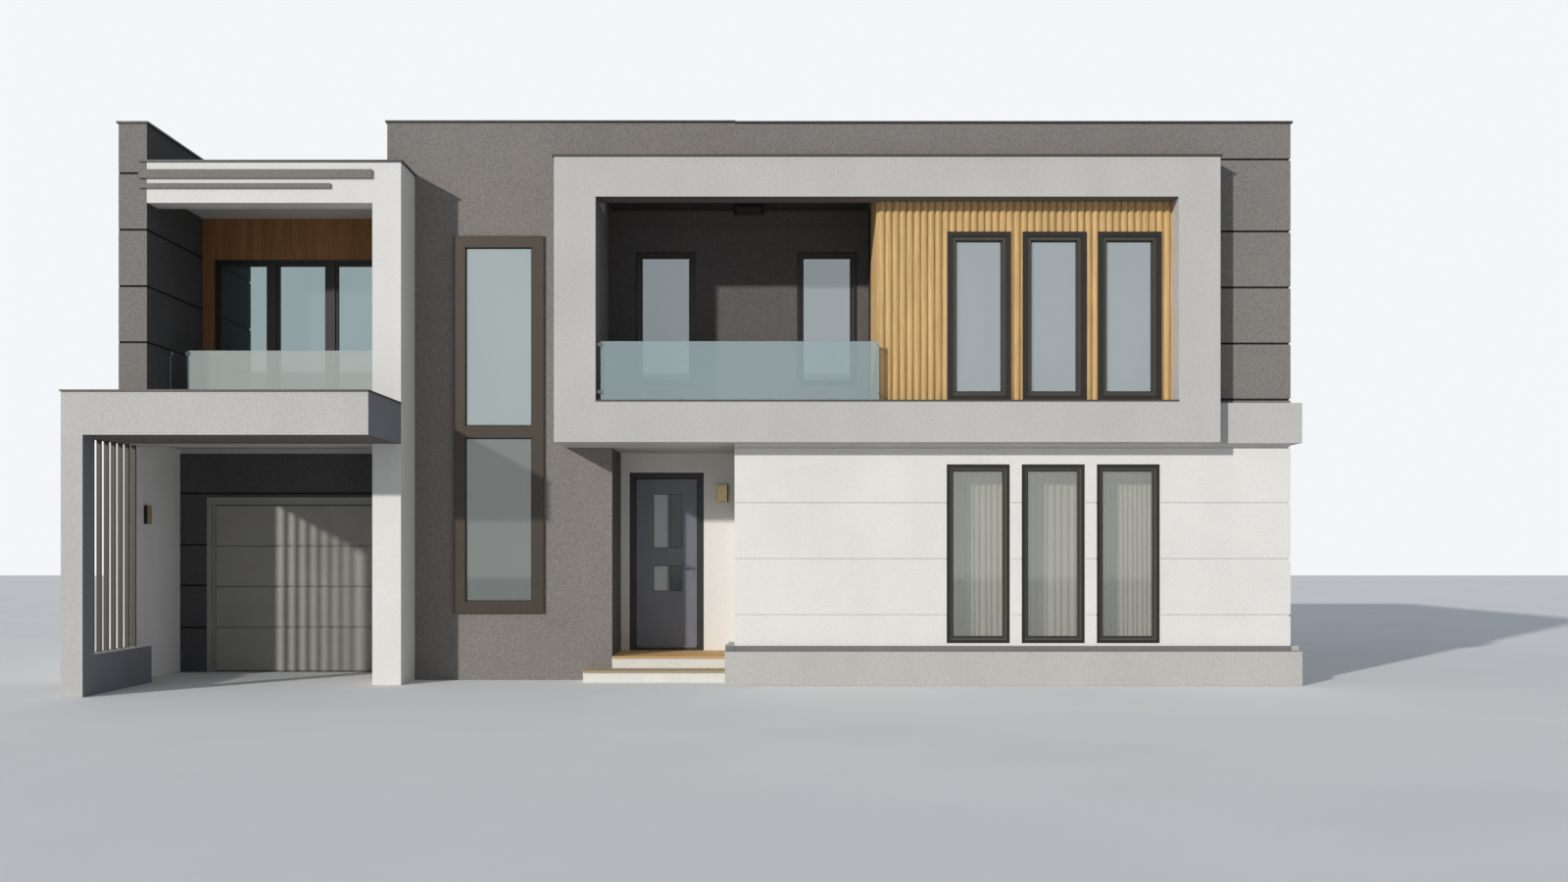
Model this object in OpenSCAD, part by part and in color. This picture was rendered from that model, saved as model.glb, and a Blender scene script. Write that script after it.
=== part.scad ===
// Two-storey modern house with a framed first-floor loggia, a tower wall and a carport.
// Heights are measured from the ground. The drawing's zero in plan is the main front
// plane and the entrance axis; every piece is then moved so that the middle of the
// whole outline lies on the origin.

/* [House outline] */
// Main front plane to rear wall
house_depth = 9000; // [8000:100:11000]
// Entrance axis to right-hand flank wall
right_x = 6000; // [5800:50:6600]
// Entrance axis to the left edge of the tower
tower_x = -4570; // [-4600:10:-4500]
// Entrance axis to the outer face of the party wall
party_x = -7490; // [-7700:10:-7400]
// Set-back of the tower wall behind the main front plane
tower_setback = 650; // [500:10:800]
// Outer wall thickness
wall_t = 300; // [250:10:350]

/* [Levels] */
// Entrance floor above ground
floor_0 = 280; // [200:10:400]
// Underside of the first-floor structure
soffit_z = 2775; // [2700:5:2850]
// First floor
floor_1 = 3150; // [3100:5:3200]
// Ceiling of the loggia and the first-floor rooms
ceiling_1 = 5780; // [5750:5:5850]
// Top of the main parapet wall, without its coping
main_top = 6465; // [6400:5:6600]
// Top of the tower parapet wall, without its coping
tower_top = 6665; // [6600:5:6800]
// Top of the balcony block's parapet, without its coping
block_top = 6020; // [5980:5:6100]

/* [Frame box] */
// Left outer edge
frame_x0 = -2435; // [-2600:5:-2300]
// Right outer edge
frame_x1 = 5100; // [5000:10:5300]
// How far the frame stands in front of the main plane
frame_out = 300; // [200:10:400]
// Width of the upright members
frame_w = 470; // [400:5:550]
// Top of the bottom band
frame_band_z = 3235; // [3200:5:3260]
// Underside of the top member
frame_head_z = 5550; // [5450:10:5600]
// Top of the top member, without its coping
frame_top_z = 6005; // [5980:5:6050]

/* [Loggia and cladding] */
// Right-hand end of the loggia, where the cladding starts
loggia_x1 = 1230; // [1000:10:1300]
// Depth of the loggia behind the main plane
loggia_depth = 1350; // [1200:10:1600]
// Spacing of the vertical ribs
rib_pitch = 82; // [70:1:120]
// Radius of one half-round rib
rib_r = 36; // [25:1:38]
// Height of a rib above its backing board
rib_h = 32; // [20:1:36]
// Thickness of the backing board
board_t = 22; // [15:1:30]

/* [Carport and garage] */
// How far the portal stands in front of the main plane
portal_out = 1360; // [1200:10:1600]
// Plan size of the portal pillar
pillar_w = 230; // [200:5:300]
// Height of the low wall under the slat screen
screen_base_z = 430; // [350:5:500]
// Number of upright slats
slat_count = 7; // [4:1:7]
// Spacing of the slats
slat_pitch = 174; // [150:1:180]
// Garage wall behind the main plane
garage_setback = 1740; // [1700:10:1900]
// Clear width of the garage door opening
garage_door_w = 2500; // [2400:10:2550]
// Height of the garage door opening
garage_door_h = 2220; // [2100:10:2300]
// Number of leaves of the sectional garage door
garage_panels = 4; // [3:1:6]

/* [Entrance] */
// Left edge of the porch recess
porch_x0 = -1880; // [-1950:10:-1850]
// Right edge of the porch recess
porch_x1 = -400; // [-450:10:-350]
// Door wall behind the main plane
door_setback = 1670; // [1600:10:1700]
// Left outer edge of the door frame
door_x0 = -1769; // [-1780:1:-1750]
// Outer width of the door frame
door_w = 939; // [900:1:960]
// Outer height of the door frame above the floor
door_h = 2250; // [2150:5:2280]
// Width of the door frame members
door_member = 80; // [60:5:90]
// Thickness of the door leaf
leaf_t = 65; // [50:1:70]

/* [Windows] */
// Left edge of the first window of each front trio
trio_x = 2042; // [2000:1:2100]
// Width of one window of the trio
trio_w = 729; // [700:1:760]
// Spacing of the windows of the trio
trio_pitch = 864; // [820:1:880]
// Width of the window frame members
member_w = 66; // [50:1:80]
// Thickness of a sealed glass unit
glass_t = 24; // [16:1:32]
// Left edge of the tall window's trim
tall_x = -3770; // [-3800:5:-3700]
// Width of the tall window's trim
tall_w = 1075; // [1000:5:1100]
// Width of the tall window's trim members
tall_member = 138; // [120:1:150]

/* [Copings] */
// Thickness of the metal copings
cope_t = 22; // [18:1:40]
// Overhang of the copings past the walls
cope_out = 20; // [15:1:40]

/* [Hidden] */
$fn = 32;
// Small working joint that keeps neighbouring solids of one node apart
gap = 5;
// Overshoot of cutting solids
eps = 20;

// Ground wall and plinth levels
plinth_out = 100;
plinth_z = 390;
base_z = 450;
base_in = 15;
plinth_x0 = -510;
garage_floor = 60;

// Plaster grooves
groove_h = 25;
groove_d = 15;
ground_grooves = [800, 1445, 2090, 2735];
upper_grooves = [3285, 3930, 4575, 5220, 6050];
party_grooves = [3945, 4590, 5240, 5890];
garage_grooves = [565, 1100, 1615, 2270];
loggia_groove = 5600;

// Party wall and balcony block; the ground storey's party wall stands outside the upper one
boundary_x = party_x - 250;
side_wall_y = 250;
party_in = party_x + 325;
block_x1 = tower_x + 330;
balcony_head_z = 5550;
block_ceiling = 5740;
balcony_setback = 1650;
balcony_wall_t = 250;

// Strips on the balcony beam, which run on over the party wall's end
strip_x = party_x + 240;
strip_out = 30;
strip_short = 480;
strip_z = [5830, 5930];
strip_low_z = [5715, 5770];

// Shallow ceiling panel between the carport canopy and the garage wall
panel_y = 565;
panel_d = 55;

// Rear and flank extents
rear_y = house_depth;
rear_in = house_depth - wall_t;
flank_in = right_x - wall_t;
tower_in = tower_x + wall_t;
porch_flank_x = porch_x0 - wall_t;
door_wall_in = door_setback + wall_t;
loggia_x0 = frame_x0 + frame_w;
loggia_wall_in = loggia_depth + wall_t;
clad_t = board_t + rib_h;

// Roof levels
roof_top = 6150;
block_roof_top = 5920;

// Loggia windows and the glass guards
loggia_windows_x = [-1657, 345];
loggia_window_w = 739;
loggia_window_z = [3590, 5255];
guard_top = 3930;
guard_t = 17;
guard_y = -190;
guard_x = [-1920, 1250];
balcony_guard_y = 600;
balcony_guard_x = party_in + 20;
balcony_joint_x = [-6945, -6935];

// Window heights
ground_z = [480, 2540];
upper_z = [3270, 5205];
tall_z = [797, 5304];
tall_transom_z = [2893, 3032];
balcony_window_x = [-7010, -4800];
balcony_window_z = [3200, 5220];
balcony_mullion_w = 150;
balcony_member = 70;
frame_depth = 80;

// Window frames: the glazing bead steps back inside the outer member
bead_share = 0.44;
bead_step = 18;
upper_member = member_w + 30;
ground_frame_y = 25;
recess_frame_y = -10;
tall_lap = 30;
tall_out = 35;

// Wall lights: a back plate with three upright bars
light_w = 120;
light_h = 220;
light_plate = 16;
light_bar = [20, 26];
porch_light = [-655, 2157];
carport_light = [675, 1865];

// Curtains
curtain_side = 60;
curtain_gap = 40;
curtain_t = 60;
curtain_foot = 20;
curtain_head = 60;

// String band round the flank and the rear
band_out = 90;
band_front = 120;

// Rear and flank windows repeat the front sizes; their frames and glass stand back from the wall face
rear_frame_in = 30;
rear_glass_in = 60;
flank_windows_y = [3300, 4164];
rear_trio_x = [2042, 2906, 3770];
rear_left_x = -3500;
garage_rear_x = [-6550, -5250];
garage_rear_z = [1500, 2150];
block_rear_x = [-6550, -5250];

// Carport screen and canopy
canopy_upstand = 150;
canopy_tray = 90;
pillar_y = pillar_w + 10 - portal_out;
low_wall_end = side_wall_y + 100;
slat_x = [party_x + 57, party_x + 107];
slat_y0 = -847;
slat_t = 25;
sill_t = 18;
sill_out = 10;

// Garage door: frame with a set-back stop, and leaves with rebated joints
garage_door_side = 77;
garage_frame_w = 55;
garage_stop_w = 38;
garage_stop_y = 35;
garage_joint = [8, 12];
garage_leaf_t = 42;
garage_foot = [10, 50];

// Entrance door
door_clear = 6;
door_y = door_setback + 10;
door_frame_depth = 80;
leaf_x0 = door_x0 + door_member + door_clear;
leaf_x1 = door_x0 + door_w - door_member - door_clear;
threshold_h = 20;
leaf_z0 = floor_0 + threshold_h + door_clear;
leaf_z1 = floor_0 + door_h - door_member - door_clear;
hinge_x = door_x0 + door_member + door_clear / 2;
hinge_y = door_y + leaf_t + 10;
hinge_r = 9;
hinge_l = 110;
hinge_levels = [leaf_z0 + 250, (leaf_z0 + leaf_z1) / 2, leaf_z1 - 250];
pane_columns = [[-1467, -1279], [-1259, -1103]];
pane_rows = [[1030, 1352], [1574, 2258]];
handle_z = floor_0 + 1050;
handle_x = leaf_x1 - 62;
handle_out = 48;
lever_l = 125;
lever_r = 9;
rose = [27, 9];

// Entrance steps
step_x0 = -2180;
step_x1 = plinth_x0;
step_y = 270;
step_z = 140;
tread_t = 20;
nosing = 20;

// Outline, from which the middle of the plan is worked out
out_x0 = boundary_x;
out_x1 = right_x + plinth_out;
out_y0 = -portal_out - cope_out;
out_y1 = house_depth + plinth_out;
mid = [(out_x0 + out_x1) / 2, (out_y0 + out_y1) / 2, 0];

// Moves a piece from the drawing's zero to the part's own origin
module placed() {
    translate(-mid) children();
}

// Box between two corners
module block(x, y, z) {
    translate([x[0], y[0], z[0]]) cube([x[1] - x[0], y[1] - y[0], z[1] - z[0]]);
}

// Groove cut into a wall that runs along X, on the face at y that looks to -Y or +Y
module grooves_x(x, y, side, levels) {
    for (z = levels)
        block([x[0] - eps, x[1] + eps], side < 0 ? [y - eps, y + groove_d] : [y - groove_d, y + eps],
            [z - groove_h / 2, z + groove_h / 2]);
}

// Groove cut into a wall that runs along Y, on the face at x that looks to +X or -X
module grooves_y(y, x, side, levels) {
    for (z = levels)
        block(side < 0 ? [x - eps, x + groove_d] : [x - groove_d, x + eps], [y[0] - eps, y[1] + eps],
            [z - groove_h / 2, z + groove_h / 2]);
}

// Opening right through a wall that runs along X
module hole_x(x, y, z) {
    block(x, [y[0] - eps, y[1] + eps], z);
}

// Window frame in the XZ plane, from the origin, with a bead that steps back on the -Y face
module sash_frame(w, h, depth, member) {
    reveal = member * (1 - bead_share);
    difference() {
        cube([w, depth, h]);
        translate([member, -eps, member]) cube([w - 2 * member, depth + 2 * eps, h - 2 * member]);
        translate([reveal, -eps, reveal]) cube([w - 2 * reveal, eps + bead_step, h - 2 * reveal]);
    }
}

// The same frame between two corners, with its outer face at y
module frame_x(x, z, y, depth, member) {
    translate([x[0], y, z[0]]) sash_frame(x[1] - x[0], z[1] - z[0], depth, member);
}

module front_trio() {
    for (i = [0 : 2]) translate([trio_x + i * trio_pitch, 0, 0]) children();
}

module plinth() {
    step = [[0, 0], [plinth_out + wall_t, 0], [plinth_out + wall_t, base_z],
        [plinth_out + base_in, base_z], [plinth_out + base_in, plinth_z], [0, plinth_z]];
    color("silver") placed() {
        // Front stretch, with a return at the porch
        translate([plinth_x0, -plinth_out, 0])
            rotate([90, 0, 90]) linear_extrude(right_x + plinth_out - plinth_x0) polygon(step);
        // Flank stretch
        translate([right_x + plinth_out, wall_t + gap, 0]) rotate([90, 0, 180])
            linear_extrude(rear_in - wall_t - 2 * gap) polygon(step);
        // Rear stretch
        translate([right_x + plinth_out, rear_y + plinth_out, 0]) rotate([90, 0, -90])
            linear_extrude(right_x + plinth_out - party_x) polygon(step);
        // Return along the porch
        block([plinth_x0, porch_x1], [wall_t + gap, door_setback - gap], [0, plinth_z]);
    }
}

module ground_slabs() {
    color("gainsboro") placed() {
        block([tower_in + gap, flank_in - gap], [door_wall_in + gap, rear_in - gap], [0, floor_0]);
        block([porch_x1 + wall_t + gap, flank_in - gap], [wall_t + gap, door_wall_in - gap], [0, floor_0]);
        block([tower_in + gap, porch_flank_x - gap], [tower_setback + wall_t + gap, door_wall_in - gap],
            [0, floor_0]);
        block([door_x0 + gap, door_x0 + door_w - gap], [door_setback, door_wall_in], [0, floor_0]);
        block([party_x + gap, tower_x - gap], [garage_setback + balcony_wall_t + gap, rear_in - gap],
            [0, garage_floor]);
    }
}

module ground_front_wall() {
    x = [porch_x1, right_x];
    color("whitesmoke") placed() difference() {
        block(x, [0, wall_t], [base_z, soffit_z]);
        front_trio() hole_x([0, trio_w], [0, wall_t], ground_z);
        grooves_x(x, 0, -1, ground_grooves);
        grooves_y([0, wall_t], right_x, 1, ground_grooves);
    }
}

module ground_flank_wall() {
    y = [wall_t + gap, rear_in - gap];
    color("whitesmoke") placed() difference() {
        block([flank_in, right_x], y, [base_z, soffit_z]);
        for (w = flank_windows_y)
            block([flank_in - eps, right_x + eps], [w, w + trio_w], ground_z);
        grooves_y(y, right_x, 1, ground_grooves);
    }
}

module rear_white_wall() {
    // Full-width ground storey, slab edge and the balcony block's rear wall above the garage
    x = [party_x, right_x];
    color("whitesmoke") placed() difference() {
        union() {
            block(x, [rear_in, rear_y], [base_z, soffit_z]);
            block([party_x, tower_x], [rear_in, rear_y], [soffit_z + gap, floor_1 - gap]);
            block([party_in, tower_x], [rear_in, rear_y], [floor_1, block_top]);
        }
        for (w = rear_trio_x) hole_x([w, w + trio_w], [rear_in, rear_y], ground_z);
        for (i = [0, 1])
            hole_x([rear_left_x + i * trio_pitch, rear_left_x + i * trio_pitch + trio_w],
                [rear_in, rear_y], ground_z);
        hole_x(garage_rear_x, [rear_in, rear_y], garage_rear_z);
        hole_x(block_rear_x, [rear_in, rear_y], loggia_window_z);
        grooves_x(x, rear_y, 1, ground_grooves);
        grooves_y([rear_in, rear_y], right_x, 1, ground_grooves);
    }
}

module porch_walls() {
    jamb_l = [porch_x0, door_x0];
    jamb_r = [door_x0 + door_w, porch_x1 + wall_t];
    color("whitesmoke") placed() {
        block([porch_x1, porch_x1 + wall_t], [wall_t, door_setback - gap], [0, soffit_z]);
        block(jamb_l, [door_setback, door_wall_in], [0, soffit_z]);
        block(jamb_r, [door_setback, door_wall_in], [0, soffit_z]);
    }
}

module door_lintel() {
    color("whitesmoke") placed()
        block([door_x0, door_x0 + door_w], [door_setback, door_wall_in], [floor_0 + door_h, soffit_z]);
}

module tower_front_wall() {
    color("dimgray") placed() difference() {
        translate([0, tower_setback + wall_t, 0]) rotate([90, 0, 0]) linear_extrude(wall_t) polygon([
            [tower_x, 0], [porch_x0, 0], [porch_x0, soffit_z], [loggia_x0, soffit_z],
            [loggia_x0, tower_top], [tower_x, tower_top]
        ]);
        hole_x([tall_x + tall_lap, tall_x + tall_w - tall_lap], [tower_setback, tower_setback + wall_t],
            [tall_z[0] + tall_lap, tall_z[1] - tall_lap]);
    }
}

module tower_flank_wall() {
    color("dimgray") placed()
        block([tower_x, tower_in], [tower_setback + wall_t + gap, rear_in - gap], [0, tower_top]);
}

module loggia_head_walls() {
    // Tower wall over the loggia, then the main wall with its return at the step in height
    x_step = porch_x1;
    color("dimgray") placed() {
        block([loggia_x0, x_step - gap], [tower_setback, tower_setback + wall_t], [ceiling_1, tower_top]);
        translate([0, 0, ceiling_1]) linear_extrude(main_top - ceiling_1) polygon([
            [x_step, 0], [loggia_x1 + clad_t, 0], [loggia_x1 + clad_t, wall_t], [x_step + wall_t, wall_t],
            [x_step + wall_t, tower_setback + wall_t], [x_step, tower_setback + wall_t]
        ]);
    }
}

module pilaster() {
    color("white") placed() block([tower_x, block_x1], [0, tower_setback], [0, block_top]);
}

module balcony_beam() {
    color("white") placed() block([party_in, tower_x], [0, wall_t], [balcony_head_z, block_top]);
}

module beam_strips() {
    color("darkgray") placed() {
        block([strip_x, tower_x], [-strip_out, 0], strip_z);
        block([strip_x, tower_x - strip_short], [-strip_out, 0], strip_low_z);
    }
}

module carport_side_wall() {
    color("whitesmoke") placed()
        block([boundary_x, party_x], [side_wall_y, garage_setback], [0, floor_1]);
}

module garage_side_wall() {
    color("whitesmoke") placed() block([boundary_x, party_x], [garage_setback, rear_y], [0, floor_1]);
}

module party_wall() {
    color("dimgray") placed() difference() {
        block([party_x, party_in], [0, rear_y], [floor_1, main_top]);
        grooves_x([party_x, party_in], 0, -1, party_grooves);
        grooves_y([0, rear_y], party_in, 1, party_grooves);
    }
}

module garage_front_wall() {
    x = [party_x, tower_x];
    x_door = garage_door_x();
    color("dimgray") placed() difference() {
        block(x, [garage_setback, garage_setback + balcony_wall_t], [0, soffit_z]);
        hole_x(x_door, [garage_setback, garage_setback + balcony_wall_t], [-eps, garage_door_h]);
        grooves_x(x, garage_setback, -1, garage_grooves);
    }
}

function garage_door_x() = [tower_x - garage_door_side - garage_door_w, tower_x - garage_door_side];

module garage_door_frame() {
    x = garage_door_x();
    y = garage_setback - 10;
    w = garage_frame_w;
    stop = w + garage_stop_w;
    color("gray") placed() difference() {
        block(x, [y, y + 100], [0, garage_door_h]);
        block([x[0] + w, x[1] - w], [y - eps, y + garage_stop_y], [-eps, garage_door_h - w]);
        block([x[0] + stop, x[1] - stop], [y - eps, y + 100 + eps], [-eps, garage_door_h - stop]);
    }
}

// One leaf of height h, its face stepping back along the top and bottom edges
module garage_leaf(w, h) {
    d = garage_joint[0];
    j = garage_joint[1];
    t = garage_leaf_t;
    rotate([90, 0, 90]) linear_extrude(w)
        polygon([[0, j], [d, j], [d, 0], [t, 0], [t, h], [d, h], [d, h - j], [0, h - j]]);
}

module garage_door() {
    x = garage_door_x();
    side = garage_frame_w + garage_stop_w + gap;
    pitch = (garage_door_h - side - garage_foot[1]) / garage_panels;
    color("gray") placed() for (i = [0 : garage_panels - 1]) {
        z0 = i == 0 ? garage_foot[0] : garage_foot[1] + i * pitch;
        translate([x[0] + side, garage_setback + garage_stop_y, z0])
            garage_leaf(garage_door_w - 2 * side, garage_foot[1] + (i + 1) * pitch - gap - z0);
    }
}

module portal_canopy() {
    color("lightgray") placed() difference() {
        block([party_x, block_x1], [-portal_out, 0], [soffit_z, frame_band_z]);
        block([party_x + canopy_upstand, block_x1 - canopy_upstand],
            [-portal_out + canopy_upstand, eps], [frame_band_z - canopy_tray, frame_band_z + eps]);
    }
}

module portal_pillar() {
    // Pillar and low wall in one, seen from the side
    color("lightgray") placed() translate([party_x, 0, 0]) rotate([90, 0, 90])
        linear_extrude(pillar_w) polygon([
            [-portal_out, 0], [low_wall_end, 0], [low_wall_end, screen_base_z], [pillar_y, screen_base_z],
            [pillar_y, soffit_z], [-portal_out, soffit_z]
        ]);
}

module screen_slats() {
    color("saddlebrown") placed() for (i = [0 : slat_count - 1])
        translate([0, slat_y0 + i * slat_pitch, 0]) block(slat_x, [0, slat_t], [screen_base_z, soffit_z]);
}

module floor_slabs() {
    y1 = rear_in - gap;
    color("gainsboro") placed() {
        // Over carport and garage, out to the balcony edge, with the shallow ceiling panel
        translate([party_x, 0, 0]) rotate([90, 0, 90]) linear_extrude(tower_x - gap - party_x) polygon([
            [0, soffit_z], [panel_y, soffit_z], [panel_y, soffit_z + panel_d],
            [garage_setback, soffit_z + panel_d], [garage_setback, soffit_z], [y1, soffit_z],
            [y1, floor_1], [0, floor_1]
        ]);
        // Over the main rooms, out to the loggia edge
        translate([0, 0, soffit_z]) linear_extrude(floor_1 - soffit_z) polygon([
            [tower_in + gap, tower_setback + wall_t], [loggia_x0, tower_setback + wall_t],
            [loggia_x0, tower_setback], [porch_x1, tower_setback], [porch_x1, 0], [loggia_x1 + clad_t, 0],
            [loggia_x1 + clad_t, wall_t], [flank_in - gap, wall_t], [flank_in - gap, y1],
            [tower_in + gap, y1]
        ]);
    }
}

module roof_slabs() {
    color("gray") placed() {
        block([party_in, tower_x - gap], [wall_t, rear_in - gap], [block_ceiling, block_roof_top]);
        translate([0, 0, ceiling_1]) linear_extrude(roof_top - ceiling_1) polygon([
            [tower_in + gap, tower_setback + wall_t], [porch_x1 + wall_t, tower_setback + wall_t],
            [porch_x1 + wall_t, wall_t], [flank_in - gap, wall_t], [flank_in - gap, rear_in - gap],
            [tower_in + gap, rear_in - gap]
        ]);
    }
}

module balcony_timber_wall() {
    y = [balcony_setback, balcony_setback + balcony_wall_t];
    color("saddlebrown") placed() difference() {
        block([party_in, tower_x], y, [floor_1, block_ceiling]);
        hole_x(balcony_window_x, y, balcony_window_z);
    }
}

module upper_front_wall() {
    x = [loggia_x1 + clad_t, right_x];
    color("dimgray") placed() difference() {
        block(x, [0, wall_t], [soffit_z, main_top]);
        front_trio() hole_x([0, trio_w], [0, wall_t], upper_z);
        grooves_x([frame_x1 - 2 * eps, right_x], 0, -1, upper_grooves);
        grooves_y([0, wall_t], right_x, 1, upper_grooves);
    }
}

module upper_flank_wall() {
    y = [wall_t + gap, rear_in - gap];
    color("dimgray") placed() difference() {
        block([flank_in, right_x], y, [soffit_z, main_top]);
        for (w = flank_windows_y)
            block([flank_in - eps, right_x + eps], [w, w + trio_w], upper_z);
        grooves_y(y, right_x, 1, upper_grooves);
    }
}

module upper_rear_wall() {
    color("dimgray") placed() difference() {
        translate([0, rear_y, 0]) rotate([90, 0, 0]) linear_extrude(wall_t) polygon([
            [tower_x, soffit_z], [right_x, soffit_z], [right_x, main_top], [porch_x1, main_top],
            [porch_x1, tower_top], [tower_x, tower_top]
        ]);
        for (w = rear_trio_x) hole_x([w, w + trio_w], [rear_in, rear_y], loggia_window_z);
        for (i = [0, 1])
            hole_x([rear_left_x + i * trio_pitch, rear_left_x + i * trio_pitch + trio_w],
                [rear_in, rear_y], loggia_window_z);
        grooves_x([tower_x, right_x], rear_y, 1, upper_grooves);
        grooves_y([rear_in, rear_y], right_x, 1, upper_grooves);
    }
}

module loggia_back_wall() {
    y = [loggia_depth, loggia_wall_in];
    x = [loggia_x0, loggia_x1 + clad_t];
    color("dimgray") placed() difference() {
        block(x, y, [floor_1, ceiling_1]);
        for (w = loggia_windows_x) hole_x([w, w + loggia_window_w], y, loggia_window_z);
        grooves_x(x, loggia_depth, -1, [loggia_groove]);
    }
}

module recess_flank_walls() {
    // Left flanks of the porch and the loggia, right flank of the loggia, roof step
    color("dimgray") placed() {
        block([porch_flank_x, porch_x0], [tower_setback + wall_t + gap, door_wall_in], [0, soffit_z]);
        block([loggia_x0 - wall_t, loggia_x0], [tower_setback + wall_t + gap, loggia_wall_in],
            [floor_1, ceiling_1]);
        block([loggia_x1 + clad_t, loggia_x1 + clad_t + wall_t], [wall_t + gap, loggia_wall_in],
            [floor_1, ceiling_1]);
        block([porch_x1 - wall_t, porch_x1 - gap], [tower_setback + wall_t + gap, rear_in - gap],
            [roof_top, tower_top]);
    }
}

module frame_top() {
    color("lightgray") placed() {
        block([frame_x0, frame_x1], [-frame_out, 0], [frame_head_z, frame_top_z]);
        block([frame_x0, loggia_x0], [0, tower_setback], [frame_head_z, frame_top_z]);
        block([loggia_x0, porch_x1], [0, tower_setback], [ceiling_1, frame_top_z]);
    }
}

module frame_base() {
    color("lightgray") placed() {
        block([frame_x0, frame_x1], [-frame_out, 0], [soffit_z, frame_band_z]);
        block([frame_x0, loggia_x0], [0, tower_setback], [soffit_z, frame_band_z]);
        block([loggia_x0, porch_x1], [0, tower_setback], [soffit_z, floor_1]);
    }
}

module frame_jambs() {
    color("lightgray") placed() {
        block([frame_x0, loggia_x0], [-frame_out, tower_setback], [frame_band_z, frame_head_z]);
        block([frame_x1 - frame_w, frame_x1], [-frame_out, 0], [frame_band_z, frame_head_z]);
    }
}

module string_band() {
    z = [soffit_z, frame_band_z];
    color("lightgray") placed() {
        block([frame_x1, right_x + band_out], [-band_front, 0], z);
        block([right_x, right_x + band_out], [gap, rear_y - gap], z);
        block([party_x, right_x + band_out], [rear_y, rear_y + band_out], z);
    }
}

// Reeded board of length l on the XZ plane: half-round ribs stand out to -Y from a flat board
module reeded_board(l, h) {
    count = floor(l / rib_pitch);
    first = (l - (count - 1) * rib_pitch) / 2;
    difference() {
        union() {
            translate([0, -board_t, 0]) cube([l, board_t, h]);
            for (i = [0 : count - 1])
                translate([first + i * rib_pitch, rib_r - clad_t, 0]) cylinder(h = h, r = rib_r);
        }
        translate([-eps, 0, -eps]) cube([l + 2 * eps, rib_r, h + 2 * eps]);
    }
}

module timber_cladding() {
    z = [frame_band_z + cope_t, frame_head_z];
    color("burlywood") placed() {
        difference() {
            translate([loggia_x1, 0, z[0]]) reeded_board(frame_x1 - frame_w - loggia_x1, z[1] - z[0]);
            front_trio() hole_x([0, trio_w], [-clad_t, 0], upper_z);
        }
        // Return along the loggia's flank
        translate([loggia_x1 + clad_t, loggia_depth - gap, floor_1]) rotate([0, 0, -90])
            reeded_board(loggia_depth - 2 * gap, ceiling_1 - floor_1);
    }
}

module glass_guards() {
    color("lightblue") placed() {
        block(guard_x, [guard_y, guard_y + guard_t], [frame_band_z + sill_t, guard_top]);
        for (x = [[balcony_guard_x, balcony_joint_x[0]], [balcony_joint_x[1], tower_x]])
            block(x, [balcony_guard_y, balcony_guard_y + guard_t], [floor_1, guard_top]);
    }
}

// Panes between the balcony window's mullions
function balcony_panes() = let (
        x = balcony_window_x, m = balcony_member, u = balcony_mullion_w,
        pane = (x[1] - x[0] - 2 * m - 2 * u) / 3
    ) [for (i = [0 : 2]) [x[0] + m + i * (pane + u), x[0] + m + i * (pane + u) + pane]];

module balcony_window_frame() {
    m = balcony_member;
    z = balcony_window_z;
    y = [balcony_setback + recess_frame_y, balcony_setback + recess_frame_y + frame_depth];
    bead = m * bead_share;
    lap = m - bead;
    difference() {
        block(balcony_window_x, y, z);
        for (p = balcony_panes()) {
            hole_x(p, y, [z[0] + m, z[1] - m]);
            block([p[0] - bead, p[1] + bead], [y[0] - eps, y[0] + bead_step], [z[0] + lap, z[1] - lap]);
        }
    }
}

module front_window_frames() {
    color("darkslategray") placed() {
        front_trio() frame_x([0, trio_w], ground_z, ground_frame_y, frame_depth, member_w);
        front_trio()
            frame_x([0, trio_w], upper_z, recess_frame_y - clad_t, clad_t + frame_depth, upper_member);
        for (w = loggia_windows_x)
            frame_x([w, w + loggia_window_w], loggia_window_z, loggia_depth + recess_frame_y, frame_depth,
                member_w);
        balcony_window_frame();
    }
}

// Sealed unit that fills a frame's opening, with its outer face at y
module pane_x(x, z, y, member) {
    block([x[0] + member, x[1] - member], [y, y + glass_t], [z[0] + member, z[1] - member]);
}

module front_window_glass() {
    color("lightblue") placed() {
        front_trio() pane_x([0, trio_w], ground_z, ground_frame_y + 30, member_w);
        front_trio() pane_x([0, trio_w], upper_z, 0, upper_member);
        for (w = loggia_windows_x)
            pane_x([w, w + loggia_window_w], loggia_window_z, loggia_depth + 20, member_w);
        for (p = balcony_panes())
            block(p, [balcony_setback + 20, balcony_setback + 20 + glass_t],
                [balcony_window_z[0] + balcony_member, balcony_window_z[1] - balcony_member]);
    }
}

module tall_window_frame() {
    m = tall_member;
    x = [tall_x + m, tall_x + tall_w - m];
    y = [tower_setback - tall_out, tower_setback];
    color("darkolivegreen") placed() difference() {
        block([tall_x, tall_x + tall_w], y, tall_z);
        hole_x(x, y, [tall_z[0] + m, tall_transom_z[0]]);
        hole_x(x, y, [tall_transom_z[1], tall_z[1] - m]);
    }
}

module tall_window_glass() {
    x = [tall_x + tall_lap, tall_x + tall_w - tall_lap];
    mid_z = (tall_transom_z[0] + tall_transom_z[1]) / 2;
    color("lightblue") placed() {
        block(x, [tower_setback, tower_setback + glass_t], [tall_z[0] + tall_lap, mid_z - gap / 2]);
        block(x, [tower_setback, tower_setback + glass_t], [mid_z + gap / 2, tall_z[1] - tall_lap]);
    }
}

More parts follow.
